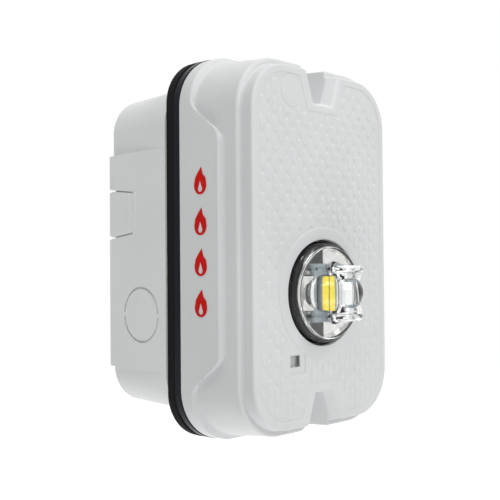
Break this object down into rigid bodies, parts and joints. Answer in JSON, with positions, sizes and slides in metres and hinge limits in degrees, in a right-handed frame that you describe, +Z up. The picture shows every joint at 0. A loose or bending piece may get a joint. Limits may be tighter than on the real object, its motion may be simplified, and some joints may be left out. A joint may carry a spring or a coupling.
{
  "type": "horn strobe",
  "caption": "Narrow wall horn strobe: white front cover with a round clear LED strobe, black sealed mounting plate and a deep weatherproof back box.",
  "frame": {"origin": "on the wall plane at the back of the back box, midway between the two wall screws, in the middle of the rear cable entry", "axes": "+X to the right seen from the front, +Z up, front faces -Y, +Y into the wall"},
  "size_m": [0.0908, 0.0925, 0.1482],
  "materials": {
    "box_plastic": "satin moulded light grey",
    "cover_plastic": "satin moulded white-grey",
    "black_plastic": "satin black",
    "dark_rubber": "matt black",
    "brass": "plain",
    "bright_steel": "zinc plated",
    "green_steel": "green",
    "terminal_plastic": "dark blue",
    "mark_red": "printed red",
    "clear_plastic": "clear",
    "silvered": "vacuum silvered",
    "pale_plastic": "pale blue-grey",
    "phosphor": "yellow phosphor",
    "white_board": "white solder mask",
    "aluminium": "plain",
    "wire_red": "red insulation",
    "board_green": "green solder mask",
    "can_sleeve": "dark sleeve",
    "copper_winding": "enamelled copper",
    "chip_black": "moulded black",
    "switch_blue": "blue",
    "dial_white": "white"
  },
  "bodies": {
    "box": {"back_box": "box_plastic", "box_inserts": "brass", "ground_bracket": "bright_steel", "ground_screw": "green_steel", "gasket": "dark_rubber", "mounting_plate": "black_plastic", "plate_screws": "bright_steel", "screw_nuts": "brass", "terminal_block": "terminal_plastic", "terminal_screws": "bright_steel", "terminal_jaws": "brass"},
    "head": {"front_housing": "cover_plastic", "fire_marks": "mark_red", "lens": "clear_plastic", "lens_seal": "dark_rubber", "shroud": "black_plastic", "reflector": "silvered", "optic_frame": "pale_plastic", "frame_screws": "bright_steel", "led_emitters": "phosphor", "led_board": "white_board", "heat_spreader": "aluminium", "led_wires": "wire_red", "main_board": "board_green", "capacitors": "can_sleeve", "choke": "copper_winding", "ic_chips": "chip_black", "board_screws": "bright_steel", "horn_chamber": "black_plastic", "piezo_disc": "brass", "horn_ring": "black_plastic", "contact_blades": "brass", "rear_cover": "black_plastic", "cover_screws": "bright_steel", "tone_switch": "switch_blue", "candela_window": "clear_plastic"},
    "candela_dial": {"candela_dial": "dial_white"},
    "tone_dial": {"tone_dial": "dial_white"},
    "top_seal": {"screw_seal_top": "dark_rubber"},
    "top_screw": {"captive_screw_top": "bright_steel"},
    "bottom_seal": {"screw_seal_bottom": "dark_rubber"},
    "bottom_screw": {"captive_screw_bottom": "bright_steel"}
  },
  "joints": [
    {"name": "head_pull", "type": "slide", "parent": "box", "child": "head", "axis": [0, -1, 0], "range_m": [0, 0.06]},
    {"name": "candela_turn", "type": "hinge", "parent": "head", "child": "candela_dial", "pos_m": [-0.0215, -0.06, -0.05], "axis": [0, -1, 0], "range_deg": [0, 315]},
    {"name": "tone_turn", "type": "hinge", "parent": "head", "child": "tone_dial", "pos_m": [0.02, -0.05, -0.032], "axis": [0, 1, 0], "range_deg": [0, 315]},
    {"name": "top_screw_feed", "type": "slide", "parent": "head", "child": "top_seal", "axis": [0, -1, 0], "range_m": [0, 0.007]},
    {"name": "top_screw_turn", "type": "hinge", "parent": "top_seal", "child": "top_screw", "pos_m": [0, -0.053, 0.0625], "axis": [0, -1, 0], "range_deg": [0, 3176]},
    {"name": "bottom_screw_feed", "type": "slide", "parent": "head", "child": "bottom_seal", "axis": [0, -1, 0], "range_m": [0, 0.007]},
    {"name": "bottom_screw_turn", "type": "hinge", "parent": "bottom_seal", "child": "bottom_screw", "pos_m": [0, -0.053, -0.0625], "axis": [0, -1, 0], "range_deg": [0, 3176]}
  ],
  "couplings": [
    {"joint": "top_screw_turn", "follows": "top_screw_feed", "rad_per_m": 7915.8},
    {"joint": "bottom_screw_turn", "follows": "bottom_screw_feed", "rad_per_m": 7915.8}
  ]
}
